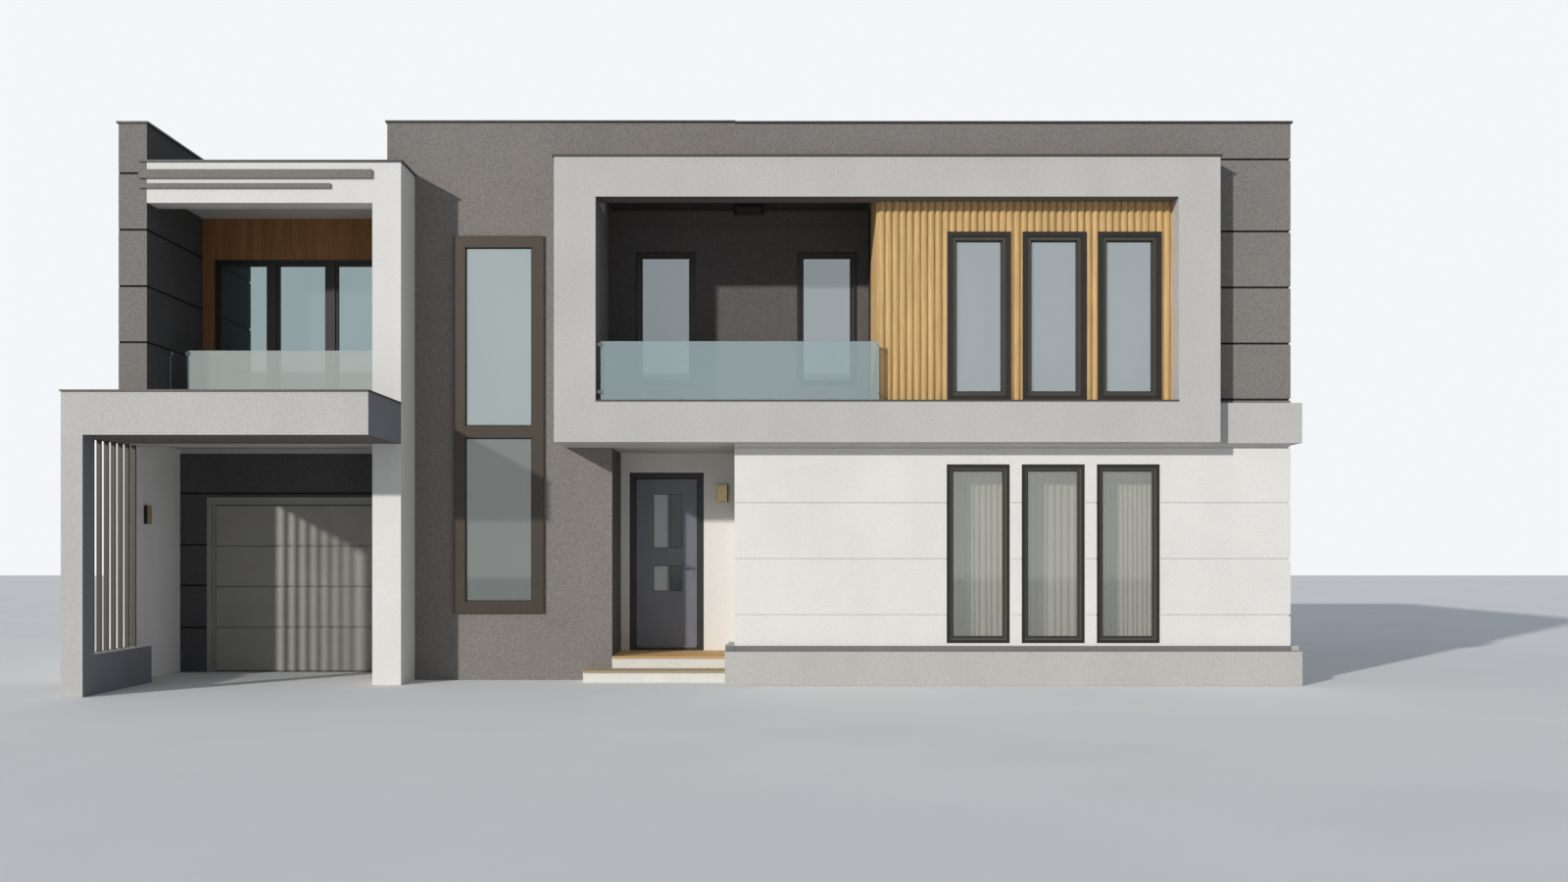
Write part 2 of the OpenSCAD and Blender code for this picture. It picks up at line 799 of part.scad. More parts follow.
// Outlines of the rear windows, each as [x, z], and of the flank windows, each as [y, z]
rear_windows = [
    for (w = concat(rear_trio_x, [rear_left_x, rear_left_x + trio_pitch]), z = [ground_z, loggia_window_z])
        [[w, w + trio_w], z],
    [garage_rear_x, garage_rear_z],
    [block_rear_x, loggia_window_z]
];
flank_windows = [for (w = flank_windows_y, z = [ground_z, upper_z]) [[w, w + trio_w], z]];

module rear_window_frames() {
    color("darkslategray") placed() {
        for (f = rear_windows)
            translate([f[0][1], rear_y - rear_frame_in, f[1][0]]) rotate([0, 0, 180])
                sash_frame(f[0][1] - f[0][0], f[1][1] - f[1][0], frame_depth, member_w);
        for (f = flank_windows)
            translate([right_x - rear_frame_in, f[0][0], f[1][0]]) rotate([0, 0, 90])
                sash_frame(f[0][1] - f[0][0], f[1][1] - f[1][0], frame_depth, member_w);
    }
}

module rear_window_glass() {
    m = member_w;
    color("lightblue") placed() {
        for (f = rear_windows)
            pane_x(f[0], f[1], rear_y - rear_glass_in - glass_t, m);
        for (f = flank_windows)
            block([right_x - rear_glass_in - glass_t, right_x - rear_glass_in], [f[0][0] + m, f[0][1] - m],
                [f[1][0] + m, f[1][1] - m]);
    }
}

// Metal cap along a wall top between two plan corners
module cap(x, y, z) {
    block(x, y, [z, z + cope_t]);
}

module roof_copings() {
    o = cope_out;
    w = wall_t;
    color("darkslategray") placed() {
        // Tower
        cap([tower_x - o, porch_x1 - gap], [tower_setback - o, tower_setback + w + o], tower_top);
        cap([tower_x - o, tower_in + o], [tower_setback + w + o + gap, rear_in - o - gap], tower_top);
        cap([tower_x - o, porch_x1 + o], [rear_in - o, rear_y + o], tower_top);
        cap([porch_x1 - w - o, porch_x1 - gap], [tower_setback + w + o + gap, rear_in - o - gap], tower_top);
        // Main roof
        cap([porch_x1, right_x + o], [-o, w + o], main_top);
        cap([flank_in - o, right_x + o], [w + o + gap, rear_in - o - gap], main_top);
        cap([porch_x1 + o + gap, right_x + o], [rear_in - o, rear_y + o], main_top);
        cap([porch_x1, porch_x1 + w + o], [w + o + gap, tower_setback + w], main_top);
        // Party wall
        cap([party_x - o, party_in + o], [-o, rear_y + o], main_top);
        // Balcony block, with a nib over the party wall's end
        cap([party_in, block_x1 + o], [-o, w + o], block_top);
        cap([strip_x, party_in], [-o, 0], block_top);
        cap([party_in, tower_x - gap], [rear_in - o, rear_y + o], block_top);
    }
}

module lower_copings() {
    o = cope_out;
    z = [frame_band_z, frame_band_z + sill_t];
    color("darkslategray") placed() {
        // Frame box
        cap([frame_x0 - o, frame_x1 + o], [-frame_out - o, 0], frame_top_z);
        cap([frame_x0 - o, loggia_x0], [gap, tower_setback], frame_top_z);
        // Sill along the frame opening
        block([loggia_x0, frame_x1 - frame_w], [-frame_out - sill_out, -clad_t], z);
        // Carport canopy
        block([party_x - sill_out, block_x1 + sill_out],
            [-portal_out - cope_out, -portal_out + canopy_upstand], z);
        block([party_x - sill_out, party_x + canopy_upstand], [-portal_out + canopy_upstand + gap, 0], z);
        block([block_x1 - canopy_upstand, block_x1 + sill_out], [-portal_out + canopy_upstand + gap, 0], z);
    }
}

module entrance_steps() {
    color("lightgray") placed() {
        block([step_x0, step_x1], [step_y, tower_setback - gap], [0, step_z - tread_t]);
        block([porch_x0, step_x1], [tower_setback, door_setback], [0, floor_0 - tread_t]);
    }
}

module step_treads() {
    color("tan") placed() {
        block([step_x0, step_x1], [step_y - nosing, tower_setback - gap], [step_z - tread_t, step_z]);
        block([porch_x0, step_x1], [tower_setback - nosing, door_setback], [floor_0 - tread_t, floor_0]);
    }
}

module door_frame() {
    x = [door_x0, door_x0 + door_w];
    y = [door_setback, door_setback + door_frame_depth];
    z = [floor_0, floor_0 + door_h];
    m = door_member;
    color("black") placed() {
        // Hinge jamb with its three barrels
        block([x[0], x[0] + m], y, z);
        for (h = hinge_levels)
            translate([hinge_x, hinge_y, h - hinge_l / 2]) cylinder(h = hinge_l, r = hinge_r);
        block([x[1] - m, x[1]], y, z);
        block([x[0] + m + 1, x[1] - m - 1], y, [z[1] - m, z[1]]);
        block([x[0] + m + 1, x[1] - m - 1], y, [z[0], z[0] + threshold_h]);
    }
}

module front_door() {
    color("slategray") placed() difference() {
        block([leaf_x0, leaf_x1], [door_y, door_y + leaf_t], [leaf_z0, leaf_z1]);
        for (c = pane_columns, r = pane_rows) hole_x(c, [door_y, door_y + leaf_t], r);
    }
}

module door_glass() {
    color("lightblue") placed() for (c = pane_columns, r = pane_rows)
        block(c, [door_y + leaf_t / 2 - glass_t / 2, door_y + leaf_t / 2 + glass_t / 2], r);
}

module door_handle() {
    // Lever on a round rose, inside and outside
    color("dimgray") placed() for (side = [-1, 1]) {
        face = side < 0 ? door_y : door_y + leaf_t;
        translate([handle_x, face, handle_z]) {
            rotate([-90 * side, 0, 0]) {
                cylinder(h = rose[1], r = rose[0]);
                cylinder(h = handle_out + lever_r, r = lever_r);
            }
            translate([0, side * handle_out, 0]) rotate([0, -90, 0]) cylinder(h = lever_l, r = lever_r);
        }
    }
}

// Wall light with its back on the XZ plane, standing out to -Y
module wall_light() {
    translate([0, -light_plate, 0]) cube([light_w, light_plate, light_h]);
    for (i = [0 : 2])
        translate([i * (light_w - light_bar[0]) / 2, -light_plate - light_bar[1], 0])
            cube([light_bar[0], light_bar[1], light_h]);
}

module wall_lights() {
    color("goldenrod") placed() {
        translate([porch_light[0], door_setback, porch_light[1]]) wall_light();
        translate([party_x, carport_light[0], carport_light[1]]) rotate([0, 0, 90]) wall_light();
    }
}

module curtains() {
    y = wall_t + curtain_gap;
    color("ivory") placed() front_trio()
        block([-curtain_side, trio_w + curtain_side], [y, y + curtain_t],
            [floor_0 + curtain_foot, soffit_z - curtain_head]);
}

plinth();
ground_slabs();
ground_front_wall();
ground_flank_wall();
rear_white_wall();
porch_walls();
door_lintel();
tower_front_wall();
tower_flank_wall();
loggia_head_walls();
pilaster();
balcony_beam();
beam_strips();
carport_side_wall();
garage_side_wall();
party_wall();
garage_front_wall();
garage_door_frame();
garage_door();
portal_canopy();
portal_pillar();
screen_slats();
floor_slabs();
roof_slabs();
balcony_timber_wall();
upper_front_wall();
upper_flank_wall();
upper_rear_wall();
loggia_back_wall();
recess_flank_walls();
frame_top();
frame_base();
frame_jambs();
string_band();
timber_cladding();
glass_guards();
front_window_frames();
front_window_glass();
tall_window_frame();
tall_window_glass();
rear_window_frames();
rear_window_glass();
roof_copings();
lower_copings();
entrance_steps();
step_treads();
door_frame();
front_door();
door_glass();
door_handle();
wall_lights();
curtains();
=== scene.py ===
"""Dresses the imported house: finishes for every surface, joinery, fittings and light."""

import math
import random

import bmesh
import bpy
from mathutils import Matrix, Vector


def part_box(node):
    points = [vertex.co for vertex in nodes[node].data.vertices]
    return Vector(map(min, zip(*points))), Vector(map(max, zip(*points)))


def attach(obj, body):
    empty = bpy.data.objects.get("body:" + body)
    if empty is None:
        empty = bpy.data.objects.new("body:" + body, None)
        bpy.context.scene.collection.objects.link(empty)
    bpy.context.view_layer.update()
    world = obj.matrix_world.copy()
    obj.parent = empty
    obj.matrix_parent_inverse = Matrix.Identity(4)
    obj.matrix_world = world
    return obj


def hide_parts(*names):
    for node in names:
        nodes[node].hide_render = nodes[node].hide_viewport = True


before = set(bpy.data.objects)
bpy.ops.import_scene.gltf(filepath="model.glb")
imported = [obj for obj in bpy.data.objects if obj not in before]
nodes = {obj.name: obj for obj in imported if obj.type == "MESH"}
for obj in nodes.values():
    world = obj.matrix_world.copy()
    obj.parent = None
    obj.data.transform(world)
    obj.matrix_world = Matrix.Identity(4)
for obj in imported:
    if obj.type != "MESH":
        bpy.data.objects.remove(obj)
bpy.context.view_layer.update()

# The photo's image size, where its receding lines meet, and its focal length, in pixels
IMAGE_W, IMAGE_H = 1600, 900
VANISH_X, VANISH_Y = 785, 558
FOCAL = 1476
SENSOR = 36.0
EYE_BACK, EYE_UP = 16.65, 1.59

# Where the entrance axis crosses the main front plane: the front wall starts 0.4 m left of it
FRONT_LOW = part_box("ground_front_wall")[0]
ZERO = Vector((FRONT_LOW.x + 0.400, FRONT_LOW.y, 0.0))


def at(x, y, z):
    """A point given from the entrance axis, the main front plane and the ground, in metres."""
    return ZERO + Vector((x, y, z))


def srgb(r, g, b):
    """An sRGB colour in 0 to 255 as a linear colour."""
    def linear(c):
        c /= 255
        return c / 12.92 if c <= 0.04045 else ((c + 0.055) / 1.055) ** 2.4
    return (linear(r), linear(g), linear(b), 1.0)


# Camera and stage

def make_camera():
    data = bpy.data.cameras.new("camera")
    data.sensor_width = SENSOR
    data.lens = FOCAL * SENSOR / IMAGE_W
    data.shift_x = (IMAGE_W / 2 - VANISH_X) / IMAGE_W
    data.shift_y = (VANISH_Y - IMAGE_H / 2) / IMAGE_W
    camera = bpy.data.objects.new("camera", data)
    camera.location = at(0, -EYE_BACK, EYE_UP)
    camera.rotation_euler = (math.radians(90), 0, 0)
    bpy.context.scene.collection.objects.link(camera)
    bpy.context.scene.camera = camera


make_camera()


# Node material helpers

def new_material(name):
    material = bpy.data.materials.new(name)
    material.use_nodes = True
    tree = material.node_tree
    return material, tree, tree.nodes["Principled BSDF"]


def math_node(tree, operation, a, b=None):
    node = tree.nodes.new("ShaderNodeMath")
    node.operation = operation
    for socket, value in zip(node.inputs, (a, b)):
        if value is None:
            continue
        if isinstance(value, (int, float)):
            socket.default_value = value
        else:
            tree.links.new(value, socket)
    return node.outputs[0]


def stretched(tree, vector, scale):
    mapping = tree.nodes.new("ShaderNodeMapping")
    mapping.inputs["Scale"].default_value = scale
    tree.links.new(vector, mapping.inputs["Vector"])
    return mapping.outputs["Vector"]


def coordinates(tree, scale=(1, 1, 1)):
    """Object coordinates in metres, stretched by scale."""
    source = tree.nodes.new("ShaderNodeTexCoord")
    return stretched(tree, source.outputs["Object"], scale)


def noise(tree, vector, scale, detail=4.0, roughness=0.55):
    node = tree.nodes.new("ShaderNodeTexNoise")
    node.inputs["Scale"].default_value = scale
    node.inputs["Detail"].default_value = detail
    node.inputs["Roughness"].default_value = roughness
    tree.links.new(vector, node.inputs["Vector"])
    return node.outputs["Fac"]


def ramp(tree, factor, low, high, start=0.3, end=0.7):
    """A colour between low and high as factor goes from start to end."""
    node = tree.nodes.new("ShaderNodeValToRGB")
    node.color_ramp.elements[0].position = start
    node.color_ramp.elements[1].position = end
    node.color_ramp.elements[0].color = low
    node.color_ramp.elements[1].color = high
    tree.links.new(factor, node.inputs["Fac"])
    return node.outputs["Color"]


def multiply(tree, a, b):
    """The product of two colours."""
    node = tree.nodes.new("ShaderNodeMix")
    node.data_type = "RGBA"
    node.blend_type = "MULTIPLY"
    node.inputs["Factor"].default_value = 1.0
    tree.links.new(a, node.inputs["A"])
    tree.links.new(b, node.inputs["B"])
    return node.outputs["Result"]


def bump(tree, height, strength, distance, below=None):
    node = tree.nodes.new("ShaderNodeBump")
    node.inputs["Strength"].default_value = strength
    node.inputs["Distance"].default_value = distance
    tree.links.new(height, node.inputs["Height"])
    if below is not None:
        tree.links.new(below, node.inputs["Normal"])
    return node.outputs["Normal"]


def shade(colour, factor):
    """The colour made lighter or darker by factor."""
    return tuple(min(1.0, c * factor) for c in colour[:3]) + (1.0,)


def grey(level):
    """A neutral factor for multiplying a colour by."""
    return (level, level, level, 1.0)


# Materials

def render_coat(name, colour, grain, contrast, relief):
    """Sprayed mineral render: a gritty grain of about `grain` metres, and slow mottling."""
    material, tree, shader = new_material(name)
    here = coordinates(tree)
    mottle = ramp(tree, noise(tree, here, 0.9, 3), shade(colour, 0.96), shade(colour, 1.035))
    runs = noise(tree, coordinates(tree, (2.6, 2.6, 0.32)), 1.0, 4)
    streak = ramp(tree, runs, grey(0.975), grey(1.02))
    grit = noise(tree, here, 1 / grain, 3, 0.72)
    speck = ramp(tree, grit, grey(1 - contrast), grey(1 + contrast * 0.45), 0.34, 0.64)
    tone = multiply(tree, multiply(tree, mottle, streak), speck)
    tree.links.new(tone, shader.inputs["Base Color"])
    coarse = bump(tree, grit, relief, 0.008)
    fine = bump(tree, noise(tree, here, 3.4 / grain, 2), relief * 0.6, 0.002, coarse)
    tree.links.new(fine, shader.inputs["Normal"])
    shader.inputs["Roughness"].default_value = 0.92
    shader.inputs["Specular IOR Level"].default_value = 0.25
    return material


def coated_metal(name, colour, roughness=0.42, metallic=0.35):
    """Powder-coated metal with a faint orange-peel and slight unevenness."""
    material, tree, shader = new_material(name)
    here = coordinates(tree)
    cloud = noise(tree, here, 2.2, 3)
    tone = ramp(tree, cloud, shade(colour, 0.93), shade(colour, 1.07))
    tree.links.new(tone, shader.inputs["Base Color"])
    gloss = ramp(tree, noise(tree, here, 30, 3), grey(roughness * 0.85), grey(roughness * 1.2))
    tree.links.new(gloss, shader.inputs["Roughness"])
    tree.links.new(bump(tree, noise(tree, here, 380, 2), 0.12, 0.0006), shader.inputs["Normal"])
    shader.inputs["Metallic"].default_value = metallic
    return material


GRAIN_SLIP = 9.0  # how far along the grain one board may start from the next, in metres


def timber(name, colour, pitch, start, spread, side=0.0):
    """Vertical timber with long grain and a tone of its own for every board of width `pitch`.

    Faces that look to +X are painted lighter by the share `side`, a painted light that lifts their
    shade.
    """
    material, tree, shader = new_material(name)
    source = tree.nodes.new("ShaderNodeTexCoord")
    split = tree.nodes.new("ShaderNodeSeparateXYZ")
    tree.links.new(source.outputs["Object"], split.inputs[0])
    across = math_node(tree, "ADD", split.outputs["X"], split.outputs["Y"])
    from_start = math_node(tree, "SUBTRACT", across, start)
    board = math_node(tree, "FLOOR", math_node(tree, "DIVIDE", from_start, pitch))
    tone = tree.nodes.new("ShaderNodeTexWhiteNoise")
    tone.noise_dimensions = "1D"
    tree.links.new(board, tone.inputs["W"])
    shifted = tree.nodes.new("ShaderNodeCombineXYZ")
    tree.links.new(split.outputs["X"], shifted.inputs["X"])
    tree.links.new(split.outputs["Y"], shifted.inputs["Y"])
    slip = math_node(tree, "MULTIPLY", tone.outputs["Value"], GRAIN_SLIP)
    tree.links.new(math_node(tree, "ADD", split.outputs["Z"], slip), shifted.inputs["Z"])
    grain = noise(tree, stretched(tree, shifted.outputs[0], (42, 42, 1.5)), 1.0, 6, 0.62)
    fibre = noise(tree, stretched(tree, shifted.outputs[0], (190, 190, 5)), 1.0, 3, 0.6)
    wood = ramp(tree, grain, shade(colour, 0.80), shade(colour, 1.12), 0.34, 0.62)
    board_tone = ramp(tree, tone.outputs["Value"], grey(1 - spread),
                      (1 + spread * 0.5, 1 + spread * 0.42, 1 + spread * 0.3, 1), 0.0, 1.0)
    fibres = ramp(tree, fibre, (0.86, 0.84, 0.80, 1), (1.04, 1.04, 1.03, 1), 0.35, 0.6)
    mixed = multiply(tree, multiply(tree, wood, board_tone), fibres)
    # Painted light: faces turned to +X, the shaded sides, are made lighter
    if side:
        facing_x = tree.nodes.new("ShaderNodeSeparateXYZ")
        tree.links.new(source.outputs["Normal"], facing_x.inputs[0])
        right = math_node(tree, "MAXIMUM", facing_x.outputs["X"], 0.0)
        painted_lift = math_node(tree, "ADD", math_node(tree, "MULTIPLY", right, side), 1.0)
        mixed = multiply(tree, mixed, painted_lift)
    tree.links.new(mixed, shader.inputs["Base Color"])
    relief = bump(tree, fibre, 0.25, 0.0012, bump(tree, grain, 0.2, 0.002))
    tree.links.new(relief, shader.inputs["Normal"])
    shader.inputs["Roughness"].default_value = 0.62
    shader.inputs["Specular IOR Level"].default_value = 0.3
    return material


def speckled_stone(name, colour, chip, chip_scale=27.0):
    """Pale cast stone with darker chips."""
    material, tree, shader = new_material(name)
    here = coordinates(tree)
    body = ramp(tree, noise(tree, here, 2.5, 4), shade(colour, 0.94), shade(colour, 1.04))
    cells = tree.nodes.new("ShaderNodeTexVoronoi")
    cells.inputs["Scale"].default_value = chip_scale
    tree.links.new(here, cells.inputs["Vector"])
    chips = ramp(tree, cells.outputs["Distance"], chip, (1, 1, 1, 1), 0.08, 0.2)
    tree.links.new(multiply(tree, body, chips), shader.inputs["Base Color"])
    tree.links.new(bump(tree, noise(tree, here, 160, 3), 0.2, 0.0015), shader.inputs["Normal"])
    shader.inputs["Roughness"].default_value = 0.75
    return material


def membrane(name, colour):
    """Roofing felt with mineral grit and water marks."""
    material, tree, shader = new_material(name)
    here = coordinates(tree)
    water = noise(tree, here, 0.55, 5, 0.6)
    marks = ramp(tree, water, shade(colour, 0.82), shade(colour, 1.12), 0.35, 0.68)
    grit = ramp(tree, noise(tree, here, 140, 2), grey(0.86), grey(1.06))
    tree.links.new(multiply(tree, marks, grit), shader.inputs["Base Color"])
    tree.links.new(bump(tree, noise(tree, here, 220, 2), 0.3, 0.002), shader.inputs["Normal"])
    shader.inputs["Roughness"].default_value = 0.95
    return material


def pane_glass(name, colour, mirror, cover, roughness=0.03):
    """Coated glazing.

    `mirror` is how metallic its reflection is, and `cover` how little shows through.
    """
    material, tree, shader = new_material(name)
    here = coordinates(tree, (1, 1, 0.35))
    cloud = ramp(tree, noise(tree, here, 0.8, 2), shade(colour, 0.95), shade(colour, 1.04))
    tree.links.new(cloud, shader.inputs["Base Color"])
    shader.inputs["Metallic"].default_value = mirror
    shader.inputs["Roughness"].default_value = roughness
    shader.inputs["Alpha"].default_value = cover
    material.surface_render_method = "BLENDED"
    return material


def sheer_cloth(name, colour):
    """Thin woven curtain that lets light through."""
    material, tree, shader = new_material(name)
    here = coordinates(tree)
    thread = noise(tree, coordinates(tree, (900, 900, 900)), 1.0, 1)
    tree.links.new(ramp(tree, noise(tree, here, 3, 3), shade(colour, 0.95), shade(colour, 1.03)),
                   shader.inputs["Base Color"])
    tree.links.new(bump(tree, thread, 0.2, 0.0005), shader.inputs["Normal"])
    shader.inputs["Roughness"].default_value = 0.9
    shader.inputs["Sheen Weight"].default_value = 0.3
    shader.inputs["Alpha"].default_value = 0.86
    material.surface_render_method = "BLENDED"
    return material


WHITE = render_coat("white render", srgb(226, 223, 217), 0.024, 0.05, 0.30)
# Painted light: a lighter copy of the white render that lifts the shade on the carport side wall
PAINTED_LIGHT_WHITE = render_coat("white render painted lighter in its shade", srgb(241, 239, 238), 0.024, 0.04, 0.20)
DARK = render_coat("dark render", srgb(133, 127, 122), 0.024, 0.24, 0.60)
GREY = render_coat("light grey render", srgb(193, 189, 184), 0.026, 0.10, 0.45)
PLINTH = render_coat("plinth render", srgb(187, 184, 178), 0.016, 0.12, 0.35)
CEILING = render_coat("ceiling render", srgb(228, 225, 222), 0.012, 0.04, 0.15)
# Painted shade: the ground floor's ceilings are darker than the upper ceiling render
PAINTED_SHADE_LOW_CEILING = render_coat("ground floor ceiling render darkened as painted shade", srgb(186, 183, 180), 0.012, 0.04, 0.15)
# Painted shade: a dark copy of the grey render for undersides
PAINTED_SHADE_SOFFIT = render_coat("soffit render darkened as painted shade", srgb(106, 101, 98), 0.016, 0.08, 0.20)
# Painted shade: a darker, bluish copy of the grey render for the sides that look to +X
PAINTED_SHADE_SIDE = render_coat("grey render darkened as painted shade on shaded sides", srgb(130, 130, 136), 0.020, 0.10, 0.35)
# Partly painted shade: the recesses' render is a little darker than the walls', and made darker
# again for their shade
DEEP_AND_PAINTED_SHADE = render_coat("darker render of the recesses, partly painted shade", srgb(106, 101, 98), 0.024, 0.22, 0.55)
# Painted shade: a darker copy of the dark render for faces that lie in shade
PAINTED_SHADE_DARK = render_coat("dark render darkened as painted shade", srgb(84, 83, 84), 0.024, 0.18, 0.45)
# Painted shade for the inside of the wall grooves
GROOVE = render_coat("render darkened as painted shade in grooves", srgb(44, 42, 41), 0.024, 0.10, 0.30)
# Partly painted shade: the dark ceiling colour made darker than the wall render
LINING = render_coat("dark ceiling lining, darkened more as painted shade", srgb(76, 73, 71), 0.012, 0.10, 0.20)
CONCRETE = render_coat("floor screed", srgb(186, 184, 180), 0.050, 0.08, 0.20)
ROOF = membrane("roof felt", srgb(118, 118, 116))
STEP = speckled_stone("cast stone", srgb(222, 219, 211), (0.60, 0.58, 0.54, 1))
TREAD = speckled_stone("tan tread", srgb(208, 166, 110), (0.86, 0.82, 0.76, 1), 90.0)
LOW_TREAD = speckled_stone("olive tread", srgb(168, 150, 118), (0.86, 0.82, 0.76, 1), 90.0)
TILE = speckled_stone("balcony tile", srgb(176, 172, 166), (0.90, 0.89, 0.88, 1), 240.0)
ROOF_COPING = coated_metal("roof coping metal", srgb(58, 59, 60))
COPING = coated_metal("brown coping metal", srgb(78, 70, 62))
FRAME_METAL = coated_metal("window frame metal", srgb(40, 34, 28))
SASH_METAL = coated_metal("sash metal", srgb(66, 63, 56))
# Painted shade: a darker copy of the frame metal for the frames in the recesses
PAINTED_SHADE_FRAME = coated_metal("frame metal darkened as painted shade in the recesses", srgb(32, 30, 28))
LINE_METAL = coated_metal("glazing line", srgb(118, 111, 100))
TALL_TRIM = coated_metal("tall window trim", srgb(63, 54, 44))
STRIP = coated_metal("base strip", srgb(122, 119, 115), 0.6, 0.1)
GARAGE_FRAME = coated_metal("garage frame", srgb(144, 142, 133), 0.5, 0.05)
GARAGE_DOOR = coated_metal("garage door", srgb(148, 145, 137), 0.5, 0.05)
SLAT = coated_metal("slat brown", srgb(62, 55, 47), 0.45, 0.1)
DOOR_FRAME = coated_metal("door frame metal", srgb(46, 44, 43))
DOOR = coated_metal("door leaf paint", srgb(105, 108, 115), 0.48, 0.1)
STEEL = coated_metal("handle steel", srgb(128, 130, 132), 0.3, 0.9)
BRASS = coated_metal("brass", srgb(190, 156, 92), 0.30, 0.85)
BLACK = coated_metal("lamp black", srgb(30, 29, 28), 0.4, 0.1)
GASKET = coated_metal("gasket", srgb(26, 26, 26), 0.7, 0.0)
OPAL = coated_metal("opal diffuser", srgb(240, 232, 206), 0.35, 0.0)
CLAD_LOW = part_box("timber_cladding")[0]
RIB_PITCH = 0.082
# The ribs' shaded +X sides are painted lighter
RIBBED = timber("ribbed timber, shaded sides painted lighter", srgb(201, 168, 116), RIB_PITCH, CLAD_LOW.x, 0.07, 0.46)
BOARD_PITCH = 0.098
WALL_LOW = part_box("balcony_timber_wall")[0]
DARK_TIMBER = timber("balcony timber", srgb(160, 113, 70), BOARD_PITCH, WALL_LOW.x, 0.14)
DARK_RETURN_TIMBER = timber("darker return timber", srgb(66, 50, 36), BOARD_PITCH, WALL_LOW.x, 0.14)
GLASS = pane_glass("window glass", srgb(174, 181, 184), 0.6, 0.88)
BALCONY_GLASS = pane_glass("balcony window glass", srgb(160, 177, 178), 0.9, 0.95)
GROUND_GLASS = pane_glass("ground window glass", srgb(184, 187, 180), 0.5, 0.33)
TALL_GLASS = pane_glass("tall window glass", srgb(180, 190, 190), 0.6, 0.88)
# Painted reflection: the lower pane is darker than the upper one
PAINTED_REFLECTION_LOW_GLASS = pane_glass("tall window glass, lower pane", srgb(140, 144, 141), 0.6, 0.88)
GUARD_GLASS = pane_glass("guard glass", srgb(174, 191, 192), 0.85, 0.52, 0.06)
BALCONY_GUARD = pane_glass("balcony guard glass", srgb(194, 200, 194), 0.85, 0.54, 0.06)
CLEAR_GUARD = pane_glass("clear guard glass", srgb(200, 206, 206), 0.8, 0.05, 0.04)
GLASS_EDGE = pane_glass("polished glass edge", srgb(196, 216, 208), 0.0, 0.85, 0.15)
FROSTED = pane_glass("frosted door pane", srgb(184, 186, 188), 0.1, 0.96, 0.45)
# Painted reflection: the clear door pane is drawn dark green-grey and nearly opaque
PAINTED_REFLECTION_DOOR_GLASS = pane_glass("clear door pane darkened as painted reflection", srgb(70, 76, 74), 0.5, 0.92, 0.05)
CLOTH = sheer_cloth("sheer curtain", srgb(234, 225, 206))

FINISHES = {
    "plinth": PLINTH, "ground_slabs": CONCRETE, "ground_front_wall": WHITE,
    "ground_flank_wall": WHITE, "rear_white_wall": WHITE, "porch_walls": WHITE,
    "door_lintel": WHITE, "tower_front_wall": DARK, "tower_flank_wall": DARK,
    "loggia_head_walls": DARK, "pilaster": WHITE, "balcony_beam": WHITE, "beam_strips": DARK,
    "carport_side_wall": WHITE, "garage_side_wall": WHITE, "party_wall": DARK,
    # The garage front wall's render is darkened as painted shade
    "garage_front_wall": PAINTED_SHADE_DARK, "garage_door_frame": GARAGE_FRAME, "garage_door": GARAGE_DOOR,
    "portal_canopy": GREY, "portal_pillar": GREY, "screen_slats": SLAT, "floor_slabs": CONCRETE,
    "roof_slabs": ROOF, "balcony_timber_wall": DARK_TIMBER, "upper_front_wall": DARK,
    "upper_flank_wall": DARK, "upper_rear_wall": DARK, "loggia_back_wall": DEEP_AND_PAINTED_SHADE,
    "recess_flank_walls": DEEP_AND_PAINTED_SHADE, "frame_top": GREY, "frame_base": GREY, "frame_jambs": GREY,
    "string_band": GREY, "timber_cladding": RIBBED, "glass_guards": GUARD_GLASS,
    "front_window_frames": FRAME_METAL, "front_window_glass": GLASS,
    "tall_window_frame": TALL_TRIM, "tall_window_glass": TALL_GLASS,
    "rear_window_frames": FRAME_METAL, "rear_window_glass": GLASS, "roof_copings": ROOF_COPING,
    "lower_copings": COPING, "entrance_steps": STEP, "step_treads": TREAD,
    "door_frame": DOOR_FRAME, "front_door": DOOR, "door_glass": PAINTED_REFLECTION_DOOR_GLASS,
    "door_handle": STEEL, "wall_lights": BRASS, "curtains": CLOTH,
}


def finish_cad_nodes():
    for name, material in FINISHES.items():
        slots = nodes[name].data.materials
        slots.clear()
        slots.append(material)


def refinish(name, material, chosen):
    """Another material on the faces that `chosen` picks by their middle and normal."""
    mesh = nodes[name].data
    mesh.materials.append(material)
    for face in mesh.polygons:
        if chosen(face.center - ZERO, face.normal):
            face.material_index = len(mesh.materials) - 1


finish_cad_nodes()

# Faces are told apart by where they look and by levels between the parts that share a node
FACING = 0.9  # the least share of a normal along an axis
GROUND_TOP = 2.6  # above the ground floor windows' heads
BALCONY_BACK = 1.5  # between the loggia's windows and the balcony's
LOGGIA_FRONT = 1.0  # between the windows in the front planes and the recessed ones
CANOPY_TRAY_TOP = 3.2  # between the canopy's tray and its rim
TALL_TRANSOM = 3.0
CLEAR_GUARD_RIGHT = -6.94  # between the balcony guard's narrow clear pane and its wide one
FROSTED_RIGHT = -1.27  # between the door's frosted panes and its clear ones
LOW_TREAD_TOP = 0.2
DARK_RETURN_FROM = 0.9  # from here to the loggia's back wall the cladding's return is darker
PORCH_LIGHT_BACK, CARPORT_LIGHT_BACK = 1.652, -7.472  # in front of the lights' black plates
SASH_FACES = ((0.035, 0.050), (-0.050, -0.035))  # where the sashes' front faces lie


def looks_down(middle, normal):
    return normal.z < -FACING


def looks_right(middle, normal):
    return normal.x > FACING


def low_and_right(middle, normal):
    return looks_right(middle, normal) and middle.z < GROUND_TOP


def sash_front(middle, normal):
    return normal.y < -FACING and any(low < middle.y < high for low, high in SASH_FACES)


